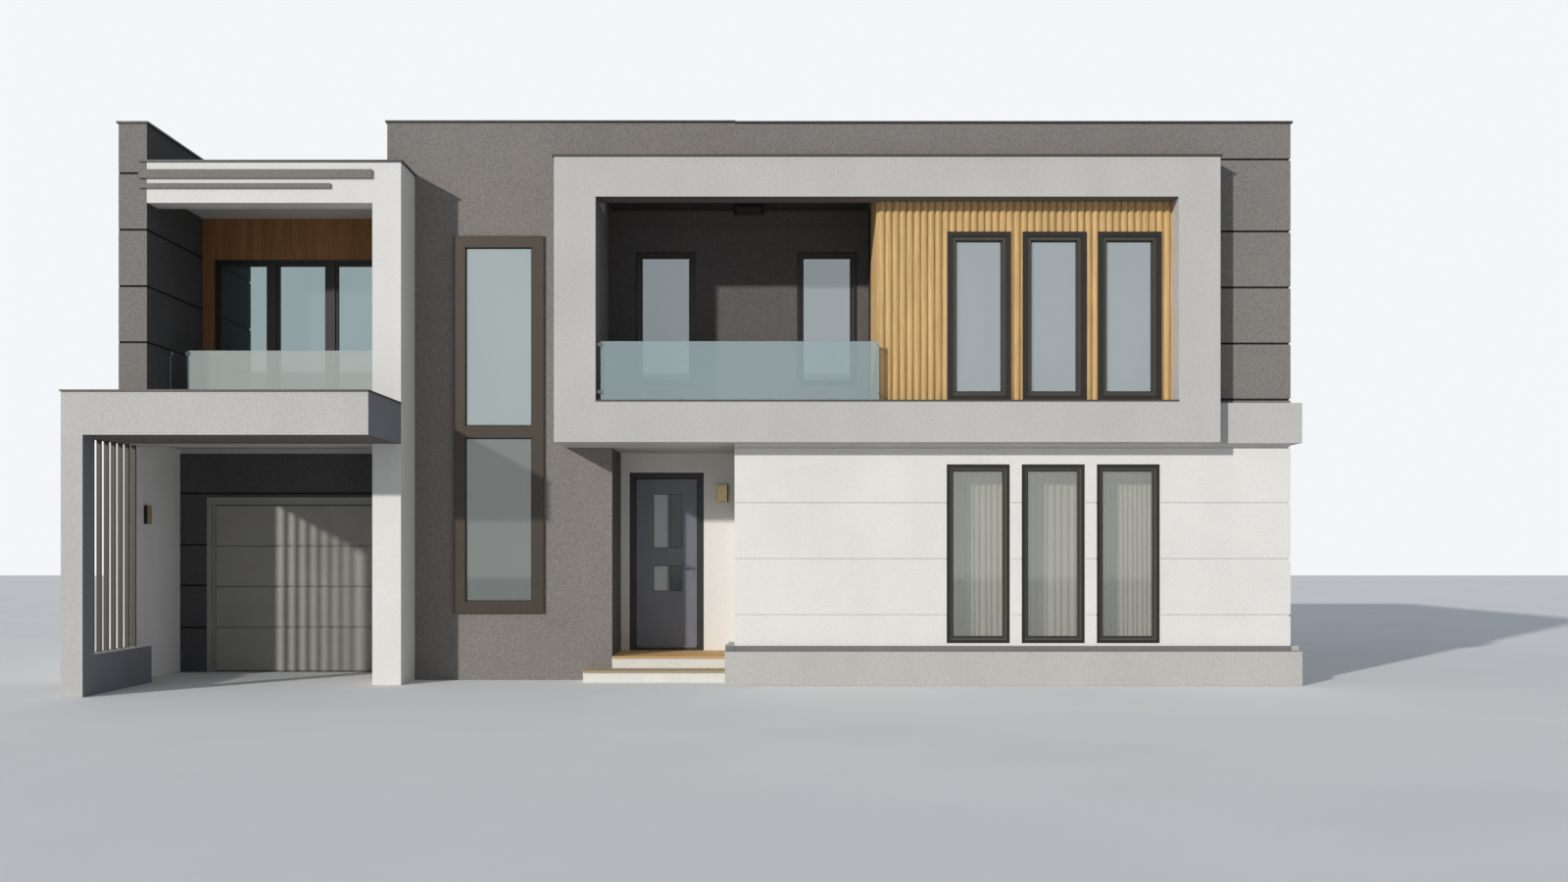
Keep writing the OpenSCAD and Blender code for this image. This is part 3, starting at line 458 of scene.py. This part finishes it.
refinish("roof_slabs", CEILING, looks_down)
# Painted shade on the ground floor's ceilings, which share the render with the slab edges
refinish("floor_slabs", PAINTED_SHADE_LOW_CEILING,
         lambda middle, normal: looks_down(middle, normal) or abs(normal.y) > FACING)
refinish("front_window_glass", GROUND_GLASS, lambda middle, normal: middle.z < GROUND_TOP)
refinish("front_window_glass", BALCONY_GLASS, lambda middle, normal: middle.y > BALCONY_BACK)
refinish("portal_canopy", ROOF,
         lambda middle, normal: normal.z > FACING and middle.z < CANOPY_TRAY_TOP)
refinish("glass_guards", BALCONY_GUARD, lambda middle, normal: middle.y > 0)
refinish("glass_guards", CLEAR_GUARD, lambda middle, normal: middle.x < CLEAR_GUARD_RIGHT)
refinish("glass_guards", GLASS_EDGE, lambda middle, normal: abs(normal.y) < 0.5)
# Painted reflection on the tall window's lower pane
refinish("tall_window_glass", PAINTED_REFLECTION_LOW_GLASS,
         lambda middle, normal: middle.z < TALL_TRANSOM)
# Painted shade on the loggia's and the balcony's window frames
refinish("front_window_frames", PAINTED_SHADE_FRAME, lambda middle, normal: middle.y > LOGGIA_FRONT)
refinish("front_window_frames", SASH_METAL, sash_front)
# Painted shade on the porch flanks' faces that look to +X
refinish("recess_flank_walls", PAINTED_SHADE_DARK, low_and_right)
refinish("tower_front_wall", PAINTED_SHADE_DARK, low_and_right)
# Painted shade on the canopy's, pillar's and left jamb's sides that look to +X
refinish("portal_canopy", PAINTED_SHADE_SIDE, looks_right)
# Painted shade on the canopy's underside
refinish("portal_canopy", PAINTED_SHADE_SOFFIT, looks_down)
refinish("portal_pillar", PAINTED_SHADE_SIDE, looks_right)
refinish("frame_jambs", PAINTED_SHADE_SIDE,
         lambda middle, normal: looks_right(middle, normal) and middle.x < 0)
# Painted shade on the frame head's underside
refinish("frame_top", PAINTED_SHADE_SOFFIT, looks_down)
# The return's far part gets a darker timber
refinish("timber_cladding", DARK_RETURN_TIMBER, lambda middle, normal: middle.y > DARK_RETURN_FROM)
refinish("door_glass", FROSTED, lambda middle, normal: middle.x < FROSTED_RIGHT)
refinish("step_treads", LOW_TREAD, lambda middle, normal: middle.z < LOW_TREAD_TOP)
refinish("wall_lights", BLACK,
         lambda middle, normal: middle.y > PORCH_LIGHT_BACK or middle.x < CARPORT_LIGHT_BACK)
# Painted light on the carport side wall's shaded face
refinish("carport_side_wall", PAINTED_LIGHT_WHITE, looks_right)
# Painted shade on the garage side wall's and the party wall's shaded faces
refinish("garage_side_wall", PAINTED_SHADE_DARK, looks_right)
refinish("party_wall", PAINTED_SHADE_DARK, looks_right)


GROOVE_REACH = 0.0135  # half a groove's height and a little more


def darken_grooves(name, levels):
    """Painted shade: darker render on the faces inside the grooves cut round these levels."""
    mesh = nodes[name].data
    mesh.materials.append(GROOVE)
    for face in mesh.polygons:
        heights = [mesh.vertices[corner].co.z for corner in face.vertices]
        if any(all(abs(z - level) < GROOVE_REACH for z in heights) for level in levels):
            face.material_index = len(mesh.materials) - 1


for wall in ("upper_front_wall", "upper_flank_wall", "upper_rear_wall"):
    darken_grooves(wall, (3.285, 3.930, 4.575, 5.220, 6.050))
darken_grooves("party_wall", (3.945, 4.590, 5.240, 5.890))
darken_grooves("garage_front_wall", (0.565, 1.100, 1.615, 2.270))


# Pieces built in mesh code

def piece(name, bm, material, body="house"):
    """A finished object from a bmesh, riding on a body."""
    mesh = bpy.data.meshes.new(name)
    bm.to_mesh(mesh)
    bm.free()
    mesh.materials.append(material)
    made = bpy.data.objects.new(name, mesh)
    bpy.context.scene.collection.objects.link(made)
    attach(made, body)
    return made


def edges_at(verts):
    """The edges that meet these vertices, each once and in the same order on every run."""
    return list(dict.fromkeys(e for v in verts for e in v.link_edges))


def add_box(bm, x, y, z, ease=0.0015):
    """A box with eased edges, between drawing levels given as pairs."""
    size = Vector((x[1] - x[0], y[1] - y[0], z[1] - z[0]))
    middle = at((x[0] + x[1]) / 2, (y[0] + y[1]) / 2, (z[0] + z[1]) / 2)
    place = Matrix.Translation(middle) @ Matrix.Diagonal((*size, 1.0))
    made = bmesh.ops.create_cube(bm, size=1.0, matrix=place)
    if ease:
        bmesh.ops.bevel(bm, geom=edges_at(made["verts"]), offset=min(ease, min(size) * 0.4),
                        segments=2, profile=0.5, affect="EDGES")


def boxes(name, spans, material, body="house", ease=0.0015):
    """One piece from several boxes."""
    bm = bmesh.new()
    for x, y, z in spans:
        add_box(bm, x, y, z, ease)
    return piece(name, bm, material, body)


def add_rod(bm, start, end, radius, sides=20):
    """A round rod with a small chamfer at both ends."""
    run = end - start
    turn = run.to_track_quat("Z", "Y").to_matrix().to_4x4()
    place = Matrix.Translation((start + end) / 2) @ turn
    made = bmesh.ops.create_cone(bm, cap_ends=True, segments=sides, radius1=radius, radius2=radius,
                                 depth=run.length, matrix=place)
    axis = run.normalized()
    rims = [e for e in edges_at(made["verts"])
            if abs((e.verts[0].co - e.verts[1].co).normalized().dot(axis)) < 0.5]
    bmesh.ops.bevel(bm, geom=rims, offset=radius * 0.12, segments=2, profile=0.5,
                    affect="EDGES")


def add_rim(bm, place, w, h, width, depth, inset=0.0):
    """A mitred glazing strip round an opening.

    It is flat for 40 % of its width and then slopes to the glass.
    """
    loops = []
    for step, y in ((0.0, 0.0), (0.0, -depth), (0.4 * width, -depth), (width, 0.0)):
        a = inset + step
        corners = [(a, a), (w - a, a), (w - a, h - a), (a, h - a)]
        loops.append([bm.verts.new(place @ Vector((cx, y, cz))) for cx, cz in corners])
    for first, second in zip(loops, loops[1:] + loops[:1]):
        for i in range(4):
            j = (i + 1) % 4
            bm.faces.new((first[i], first[j], second[j], second[i]))


def facing(x, y, z, turn):
    """Places a local opening with its low corner at a drawing point, turned about the vertical."""
    return Matrix.Translation(at(x, y, z)) @ Matrix.Rotation(math.radians(turn), 4, "Z")


# Windows that the glazing and the curtains share: left edges, widths, and sill and head levels
PANE_W = 0.729
PANE_PITCH = 0.864
TRIO = [2.042 + PANE_PITCH * i for i in range(3)]
LOGGIA_PANES, LOGGIA_PANE_W = (-1.657, 0.345), 0.739
BALCONY_PANES, BALCONY_PANE_W = [-6.940 + 0.740 * i for i in range(3)], 0.590
TALL_X, TALL_W = -3.632, 0.799
TALL_LIGHTS = ((0.935, 2.893), (3.032, 5.166))
REAR_X = TRIO + [-3.500, -2.636]
REAR_WIDE_X, REAR_WIDE_W = -5.250, 1.300
FLANK_Y = (3.300, 4.164)
GROUND_Z, UPPER_Z, LOGGIA_Z = (0.480, 2.540), (3.270, 5.205), (3.590, 5.255)
BALCONY_Z, GARAGE_REAR_Z = (3.270, 5.150), (1.500, 2.150)
REAR_PLANE, FLANK_PLANE = 8.940, 5.940
MEMBER, UPPER_MEMBER = 0.066, 0.096
GLASS_IN, UPPER_GLASS_IN, TALL_GLASS_IN = 0.010, 0.040, 0.024


def window(x, y, z, w, member, depth, turn=0):
    """A window as its place, its width and height, its frame member, and how deep the glass is."""
    return facing(x, y, z[0], turn), w, z[1] - z[0], member, depth


FRONT_WINDOWS = (
    [window(x, 0.055, GROUND_Z, PANE_W, MEMBER, GLASS_IN) for x in TRIO]
    + [window(x, 0.0, UPPER_Z, PANE_W, UPPER_MEMBER, UPPER_GLASS_IN) for x in TRIO]
    + [window(x, 1.370, LOGGIA_Z, LOGGIA_PANE_W, MEMBER, GLASS_IN) for x in LOGGIA_PANES]
    + [window(x, 1.670, BALCONY_Z, BALCONY_PANE_W, 0.0, GLASS_IN) for x in BALCONY_PANES]
    + [window(TALL_X, 0.650, z, TALL_W, 0.0, TALL_GLASS_IN) for z in TALL_LIGHTS]
)
REAR_WINDOWS = (
    [window(x + PANE_W, REAR_PLANE, z, PANE_W, MEMBER, GLASS_IN, 180)
     for x in REAR_X for z in (GROUND_Z, LOGGIA_Z)]
    + [window(REAR_WIDE_X, REAR_PLANE, z, REAR_WIDE_W, MEMBER, GLASS_IN, 180)
       for z in (GARAGE_REAR_Z, LOGGIA_Z)]
    + [window(FLANK_PLANE, y, z, PANE_W, MEMBER, GLASS_IN, 90)
       for y in FLANK_Y for z in (GROUND_Z, UPPER_Z)]
)


def glazing(name, windows):
    """Beads on the glass, a dark gasket inside them, and a light line where the frame steps."""
    bead, gasket, line = 0.012, 0.004, 0.005
    beads, gaskets, lines = bmesh.new(), bmesh.new(), bmesh.new()
    for place, w, h, member, depth in windows:
        add_rim(beads, place, w, h, bead, depth * 0.8, member)
        add_rim(gaskets, place, w, h, gasket, 0.002, member + bead)
        if member:
            step = place @ Matrix.Translation((0, -depth - 0.002, 0))
            add_rim(lines, step, w, h, line, 0.003, member * 0.56)
    piece(name + "_beads", beads, SASH_METAL)
    piece(name + "_gaskets", gaskets, GASKET)
    piece(name + "_lines", lines, LINE_METAL)


glazing("front_glazing", FRONT_WINDOWS)
glazing("rear_glazing", REAR_WINDOWS)


def base_strip():
    """Folded flashing on the plinth's top, with its upstand in the recess under the white wall."""
    porch, party, right, back = -0.510, -7.480, 6.000, 9.000
    out, corner = right + 0.098, 0.310
    top = (0.390, 0.393)
    rise = (0.393, 0.449)
    boxes("base_strip", [
        ((porch, out), (-0.098, 0.012), top),
        ((porch + 0.11, right), (0.006, 0.013), rise),
        ((porch + 0.006, porch + 0.11), (0.0, 0.013), rise),
        ((right - 0.012, out), (corner, back - corner), top),
        ((right - 0.013, right - 0.006), (corner, back - corner), rise),
        ((party, out), (back - 0.012, back + 0.098), top),
        ((right, out), (0.012, corner), top),
        ((right, out), (back - corner, back - 0.012), top),
        ((right, right + 0.0035), (0.001, 0.305), rise),
        ((right, right + 0.0035), (back - 0.305, back - 0.001), rise),
        ((party, right - 0.014), (back - 0.013, back - 0.006), rise),
    ], STRIP, ease=0.0008)


base_strip()


# Curtains: the pleats of each, and what they share with their track
PLEATS = (12, 10, 15)
CURTAIN_SEED = 31
PLEAT_STEPS = 10
DROP_STEPS = 26
CURTAIN_HEAD, CURTAIN_FOOT = 2.728, 0.302
CURTAIN_Y = 0.370
CURTAIN_LAP = 0.055  # past the window's edge on either side
SWING = 0.022
TRACK_Z = (2.735, 2.772)


def pleated_sheet(bm, left, pleats, rng):
    """Fills a bmesh with a sheet in waves that deepen to the foot, and gives its flat width."""
    low, high = left - CURTAIN_LAP, left + PANE_W + CURTAIN_LAP
    columns = pleats * PLEAT_STEPS
    phase = [rng.uniform(-0.35, 0.35) for _ in range(pleats + 1)]
    grid = []
    for r in range(DROP_STEPS + 1):
        drop = r / DROP_STEPS
        line = []
        for c in range(columns + 1):
            t = c / PLEAT_STEPS
            k = min(int(t), pleats - 1)
            drift = phase[k] * (1 - (t - k)) + phase[k + 1] * (t - k)
            wave = math.sin(2 * math.pi * t + drift * (0.4 + drop))
            depth = SWING * (0.55 + 0.42 * drop) * wave
            ease = 0.006 * drop * math.cos(2 * math.pi * t * 0.5 + drift)
            x = low + (high - low) * c / columns + ease * math.sin(math.pi * c / columns)
            z = CURTAIN_HEAD + (CURTAIN_FOOT - CURTAIN_HEAD) * drop
            line.append(bm.verts.new(at(x, CURTAIN_Y + depth, z)))
        grid.append(line)
    for upper, lower in zip(grid, grid[1:]):
        for c in range(columns):
            bm.faces.new((upper[c], upper[c + 1], lower[c + 1], lower[c]))
    half = grid[DROP_STEPS // 2]
    return sum((half[c + 1].co - half[c].co).length for c in range(columns))


def curtains():
    """Sheer curtains, one behind each ground floor window."""
    for index, left in enumerate(TRIO):
        bm = bmesh.new()
        width = pleated_sheet(bm, left, PLEATS[index], random.Random(CURTAIN_SEED + index))
        made = piece(f"curtain_{index + 1}", bm, CLOTH)
        made.data.shade_smooth()
        if index == 0:
            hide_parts("curtains")


def curtain_track():
    """A box track on the ceiling over all three curtains, with the gliders they hang from."""
    run, front, back, wall = (1.960, 4.520), 0.352, 0.388, 0.004
    spans = [(run, (front, back), (TRACK_Z[0], TRACK_Z[0] + wall)),
             (run, (front, front + wall), TRACK_Z),
             (run, (back - wall, back), TRACK_Z),
             (run, (front, back), (TRACK_Z[1] - wall, TRACK_Z[1] + 0.002))]
    gliders, lap, half = 12, 0.05, 0.006
    for left in TRIO:
        for c in range(gliders):
            x = left - lap + (PANE_W + 2 * lap) * c / (gliders - 1)
            spans.append(((x - half, x + half), (CURTAIN_Y - half, CURTAIN_Y + half),
                          (CURTAIN_HEAD - half, TRACK_Z[0] + 0.002)))
    boxes("curtain_track", spans, OPAL, ease=0.0006)


curtains()
curtain_track()


BALCONY_X = (-7.160, -4.575)
FLOOR_TOP = 3.150


def guard_fittings():
    """Clamps and pins that hold the glass guards, and the balcony guard's two foot rails."""
    clamp_h = 0.045
    balcony_y = (0.588, 0.629)
    spans = []
    for z in (3.330, 3.870):
        level = (z, z + clamp_h)
        spans += [((-1.964, -1.896), (-0.203, -0.160), level),
                  ((-7.164, -7.120), balcony_y, level),
                  ((-4.612, -4.571), balcony_y, level),
                  ((-6.962, -6.908), balcony_y, level)]
    boxes("guard_clamps", spans, STEEL, ease=0.004)
    bm = bmesh.new()
    for z in (3.345, 3.885):
        add_rod(bm, at(1.240, -0.197, z), at(1.240, -0.050, z), 0.009)
    piece("guard_pins", bm, STEEL)
    boxes("guard_shoes", [
        (BALCONY_X, (0.586, 0.599), (FLOOR_TOP, 3.245)),
        (BALCONY_X, (0.618, 0.631), (FLOOR_TOP, 3.245)),
    ], COPING)


guard_fittings()


def loggia_ceiling():
    """Dark lining boards under the loggia's ceiling, made darker than the walls as painted shade,
    and a flat lamp at the back wall.
    """
    edge, end, board, joint = -1.962, 1.222, 0.520, 0.0004
    spans = []
    while edge < end - 0.002:
        right = min(edge + board, end)
        spans.append(((edge + joint, right - joint), (0.006, 1.344), (5.768, 5.779)))
        edge += board
    boxes("loggia_ceiling", spans, LINING)
    boxes("loggia_lamp", [((-0.425, -0.075), (0.950, 1.345), (5.716, 5.768))], BLACK,
          ease=0.004)
    boxes("loggia_lamp_panel", [((-0.405, -0.095), (0.970, 1.325), (5.713, 5.717))], LINING)


loggia_ceiling()


TILE_SIZE = 0.600
TILE_Z = (FLOOR_TOP, 3.162)


def tiles(name, x, y):
    """Square floor tiles with open joints, cut at the edges."""
    joint, least = 0.002, 0.02
    spans = []
    u = x[0]
    while u < x[1] - least:
        v = y[0]
        while v < y[1] - least:
            spans.append(((u + joint, min(u + TILE_SIZE, x[1]) - joint),
                          (v + joint, min(v + TILE_SIZE, y[1]) - joint), TILE_Z))
            v += TILE_SIZE
        u += TILE_SIZE
    boxes(name, spans, TILE)


tiles("balcony_tiles", BALCONY_X, (0.634, 1.642))
tiles("loggia_tiles", (-1.960, 1.226), (0.004, 1.344))


def extra_copings():
    """The pilaster's coping behind the beam's, and a flashing on the low party wall's ledge."""
    boxes("pilaster_coping", [((-4.569, -4.220), (0.321, 0.649), (6.020, 6.042))], ROOF_COPING)
    boxes("ledge_flashing", [((-7.739, -7.491), (0.251, 8.999), (3.150, 3.166))], COPING)


extra_copings()


# The roof wells as their spans along x and y and the level of the felt
ROOF_WELLS = (
    ((-4.225, -0.745), (0.995, 8.655), 6.150),
    ((-0.045, 5.655), (0.995, 8.655), 6.150),
    ((-7.150, -4.585), (0.350, 8.645), 5.920),
)


def roof_laps():
    """Felt laid in strips a metre wide: each overlaps the next, with a drain in every roof well."""
    lap, strip, drain_in = 0.11, 1.0, 0.45
    laps, drains = [], bmesh.new()
    for x, y, top in ROOF_WELLS:
        edge = x[0] + 0.35
        while edge < x[1] - 0.1:
            laps.append(((edge, edge + lap), y, (top - 0.001, top + 0.005)))
            edge += strip
        drain = at(x[1] - drain_in, y[1] - drain_in, top)
        add_rod(drains, drain, drain + Vector((0, 0, 0.030)), 0.085, 28)
    boxes("roof_felt_laps", laps, ROOF, ease=0.001)
    piece("roof_drains", drains, GASKET)


roof_laps()


def wall_light_parts():
    """Opal strips between the brass bars, and black cheeks beside them."""
    porch_x, carport_y, strip_w = -0.655, 0.675, 0.026
    strips = []
    for start in (0.022, 0.072):
        strips.append(((porch_x + start, porch_x + start + strip_w), (1.634, 1.653),
                       (2.161, 2.373)))
        strips.append(((-7.473, -7.454), (carport_y + start, carport_y + start + strip_w),
                       (1.869, 2.081)))
    boxes("lamp_diffusers", strips, OPAL)
    boxes("lamp_cheeks", [
        ((-0.5345, -0.517), (1.624, 1.651), (2.157, 2.377)),
        ((-7.490, -7.450), (0.669, carport_y), (1.865, 2.085)),
    ], BLACK)


wall_light_parts()


DOOR_PANES_X = ((-1.467, -1.279), (-1.259, -1.103))
DOOR_PANES_Z = ((1.030, 1.352), (1.574, 2.258))


def door_fittings():
    """Slim rims round the panes, a lock plate, and a drip bar, all on the leaf."""
    face, pane_face = 1.680, 1.7005
    rims = bmesh.new()
    for x in DOOR_PANES_X:
        for z in DOOR_PANES_Z:
            place = facing(x[0], pane_face, z[0], 0)
            add_rim(rims, place, x[1] - x[0], z[1] - z[0], 0.006, 0.016)
    piece("door_pane_rims", rims, DOOR_FRAME, "door_leaf")
    lock_x, lock_z = -0.978, 1.240
    bm = bmesh.new()
    add_box(bm, (-0.994, -0.962), (face - 0.006, face + 0.001), (1.205, 1.275), 0.003)
    add_rod(bm, at(lock_x, face - 0.012, lock_z), at(lock_x, face, lock_z), 0.0085)
    piece("door_lock", bm, STEEL, "door_leaf")
    boxes("door_drip_bar", [((-1.675, -0.924), (face - 0.014, face + 0.001), (0.316, 0.342))],
          DOOR, "door_leaf", ease=0.005)


door_fittings()


def garage_fittings():
    """Rubber along the foot of the door, and dark brushes in the joint round its leaves."""
    left, right = -7.147 + 0.098, -4.647 - 0.098
    near, far, brush_y = 0.0005, 0.0045, (1.790, 1.812)
    boxes("garage_seal", [((left, right), (1.778, 1.815), (0.001, 0.012))], GASKET)
    boxes("garage_brushes", [
        ((left - far, left - near), brush_y, (0.002, 2.120)),
        ((right + near, right + far), brush_y, (0.002, 2.120)),
        ((left, right), brush_y, (2.1225, 2.1265)),
    ], GASKET, ease=0.0)


garage_fittings()


# Light and stage

def make_stage():
    half = 60.0
    mesh = bpy.data.meshes.new("floor")
    corners = [(-half, -half, 0), (half, -half, 0), (half, half, 0), (-half, half, 0)]
    mesh.from_pydata(corners, [], [(0, 1, 2, 3)])
    floor = bpy.data.objects.new("floor", mesh)
    floor.location.z = -0.002
    bpy.context.scene.collection.objects.link(floor)
    material, tree, shader = new_material("pale floor")
    here = coordinates(tree)
    tree.links.new(ramp(tree, noise(tree, here, 0.4, 3), srgb(228, 228, 227), srgb(233, 233, 232)),
                   shader.inputs["Base Color"])
    shader.inputs["Roughness"].default_value = 0.9
    mesh.materials.append(material)


SUN_DIRECTION = Vector((0.80, 1.0, -0.437))
SUN_ENERGY, SUN_ANGLE = 2.66, 1.6
SKY_STRENGTH = 0.35


def make_sun():
    sun = bpy.data.lights.new("soft sun", "SUN")
    sun.energy = SUN_ENERGY
    sun.color = (1.0, 0.99, 0.965)
    sun.angle = math.radians(SUN_ANGLE)
    lamp = bpy.data.objects.new("soft sun", sun)
    lamp.rotation_mode = "QUATERNION"
    lamp.rotation_quaternion = SUN_DIRECTION.to_track_quat("-Z", "Y")
    bpy.context.scene.collection.objects.link(lamp)


def make_world():
    """A bluish sky that lights the house, with a pale backdrop that is seen and reflected."""
    world = bpy.data.worlds.new("studio")
    world.use_nodes = True
    bpy.context.scene.world = world
    tree = world.node_tree
    tree.nodes.clear()
    out = tree.nodes.new("ShaderNodeOutputWorld")
    light = tree.nodes.new("ShaderNodeBackground")
    light.inputs["Color"].default_value = (0.79, 0.89, 1.03, 1)
    light.inputs["Strength"].default_value = SKY_STRENGTH
    backdrop = tree.nodes.new("ShaderNodeBackground")
    backdrop.inputs["Color"].default_value = (0.90, 0.92, 0.94, 1)
    backdrop.inputs["Strength"].default_value = 1.0
    path = tree.nodes.new("ShaderNodeLightPath")
    seen = math_node(tree, "MAXIMUM", path.outputs["Is Camera Ray"],
                     math_node(tree, "MAXIMUM", path.outputs["Is Glossy Ray"],
                               path.outputs["Is Transmission Ray"]))
    mix = tree.nodes.new("ShaderNodeMixShader")
    tree.links.new(seen, mix.inputs["Fac"])
    tree.links.new(light.outputs[0], mix.inputs[1])
    tree.links.new(backdrop.outputs[0], mix.inputs[2])
    tree.links.new(mix.outputs[0], out.inputs["Surface"])


make_stage()
make_sun()
make_world()
bpy.context.scene.view_settings.view_transform = "Standard"
